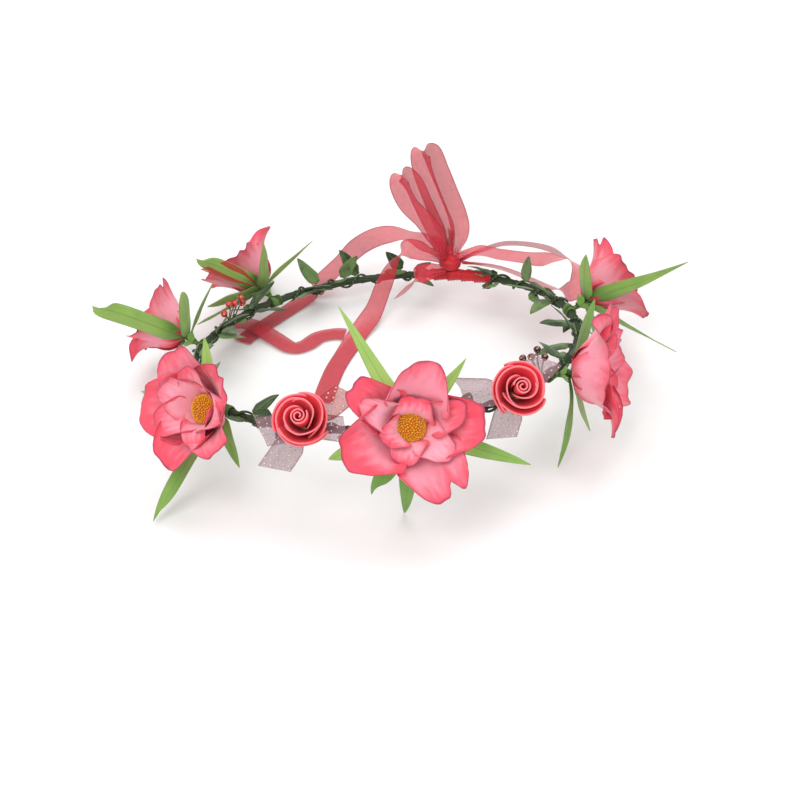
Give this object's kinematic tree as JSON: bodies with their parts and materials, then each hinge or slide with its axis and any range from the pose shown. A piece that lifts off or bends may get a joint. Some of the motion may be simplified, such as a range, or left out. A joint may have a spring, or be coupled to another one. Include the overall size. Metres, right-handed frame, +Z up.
{
  "type": "flower crown",
  "caption": "Wire hoop covered with fabric flowers, foam roses, satin leaves and a leafy vine, with a sheer ribbon bow at the back.",
  "frame": {"origin": "centre of the underside of the bounding box, on the table that the crown lies on", "axes": "+Z up; -Y the front, where the raised edge and the large flower with its face to the viewer are; +X to the right of a person who looks at the front"},
  "size_m": [0.2742, 0.238, 0.0935],
  "materials": {
    "wire": "drawn steel wire",
    "stem_tape": "crepe floral tape, waxed",
    "vine": "woven fabric leaf, matt",
    "berries_bright": "glossy with gold specks",
    "berries_dark": "glossy with gold specks",
    "organza_strip": "sheer organza",
    "ribbon_folded": "sheer organza, several layers",
    "ribbon": "sheer organza with a denser edge",
    "petal_outer": "printed fabric petal, fine weave",
    "petal_inner": "printed fabric petal, fine weave",
    "flower_centre": "flocked and grainy",
    "satin_leaf": "satin with a pressed midrib",
    "calyx": "crepe floral tape",
    "stem": "crepe floral tape over wire",
    "rose_foam": "matt foam sheet, rolled",
    "dotted_organza": "sheer organza with raised gold dots"
  },
  "bodies": {
    "crown": {"hoop_wire": "wire", "stem_tape": "stem_tape", "vine_twine": "vine", "vine_leaves_back": "vine", "vine_leaves_front": "vine", "ribbon_binding": "ribbon_folded", "bow_knot": "ribbon_folded", "bow_loop_left": "ribbon", "bow_loop_right": "ribbon", "ribbon_curl_left": "ribbon", "ribbon_tail_left": "ribbon", "ribbon_tail_cross": "ribbon", "ribbon_tail_inner": "ribbon", "ribbon_loop_side": "ribbon", "ribbon_tail_side": "ribbon", "berries_left": "berries_bright", "berries_right": "berries_dark"},
    "back_left": {"organza_strip": "organza_strip", "back_left_petals_outer": "petal_outer", "back_left_petals_inner": "petal_inner", "back_left_centre": "flower_centre", "back_left_leaves": "satin_leaf", "back_left_calyx": "calyx", "back_left_stem": "stem"},
    "front": {"front_petals_outer": "petal_outer", "front_petals_inner": "petal_inner", "front_centre": "flower_centre", "front_leaves": "satin_leaf", "front_calyx": "calyx", "front_stem": "stem"},
    "front_left": {"front_left_petals_outer": "petal_outer", "front_left_petals_inner": "petal_inner", "front_left_centre": "flower_centre", "front_left_leaves": "satin_leaf", "front_left_calyx": "calyx", "front_left_stem": "stem"},
    "left": {"left_petals_outer": "petal_outer", "left_petals_inner": "petal_inner", "left_centre": "flower_centre", "left_leaves": "satin_leaf", "left_calyx": "calyx", "left_stem": "stem"},
    "front_right": {"front_right_petals_outer": "petal_outer", "front_right_petals_inner": "petal_inner", "front_right_centre": "flower_centre", "front_right_leaves": "satin_leaf", "front_right_calyx": "calyx", "front_right_stem": "stem"},
    "right": {"right_petals_outer": "petal_outer", "right_petals_inner": "petal_inner", "right_centre": "flower_centre", "right_leaves": "satin_leaf", "right_calyx": "calyx", "right_stem": "stem"},
    "rose_left": {"rose_left_bloom": "rose_foam", "rose_left_organza": "dotted_organza", "rose_left_stem": "stem"},
    "rose_right": {"rose_right_bloom": "rose_foam", "rose_right_organza": "dotted_organza", "rose_right_stem": "stem"}
  },
  "joints": [
    {"name": "front_tilt", "type": "hinge", "parent": "crown", "child": "front", "pos_m": [0.00454, -0.08354, 0.04794], "axis": [0.9942, 0.1026, 0.0321], "range_deg": [-10, 10]},
    {"name": "front_left_tilt", "type": "hinge", "parent": "crown", "child": "front_left", "pos_m": [-0.07711, -0.04933, 0.037], "axis": [0.6069, -0.7735, 0.1824], "range_deg": [-10, 10]},
    {"name": "left_tilt", "type": "hinge", "parent": "crown", "child": "left", "pos_m": [-0.09266, 0.02964, 0.02081], "axis": [-0.2681, -0.9482, 0.1705], "range_deg": [-10, 10]},
    {"name": "back_left_tilt", "type": "hinge", "parent": "crown", "child": "back_left", "pos_m": [-0.05871, 0.0784, 0.0131], "axis": [-0.8036, -0.5908, 0.0729], "range_deg": [-10, 10]},
    {"name": "front_right_tilt", "type": "hinge", "parent": "crown", "child": "front_right", "pos_m": [0.06964, -0.04681, 0.0442], "axis": [0.5951, 0.7942, -0.1234], "range_deg": [-10, 10]},
    {"name": "right_tilt", "type": "hinge", "parent": "crown", "child": "right", "pos_m": [0.08591, 0.02505, 0.03106], "axis": [-0.1979, 0.9602, -0.1973], "range_deg": [-10, 10]},
    {"name": "rose_left_tilt", "type": "hinge", "parent": "crown", "child": "rose_left", "pos_m": [-0.04089, -0.07686, 0.04426], "axis": [0.9153, -0.3836, 0.1226], "range_deg": [-8, 8]},
    {"name": "rose_right_tilt", "type": "hinge", "parent": "crown", "child": "rose_right", "pos_m": [0.05041, -0.06585, 0.0469], "axis": [0.8036, 0.5908, -0.0729], "range_deg": [-8, 8]}
  ]
}
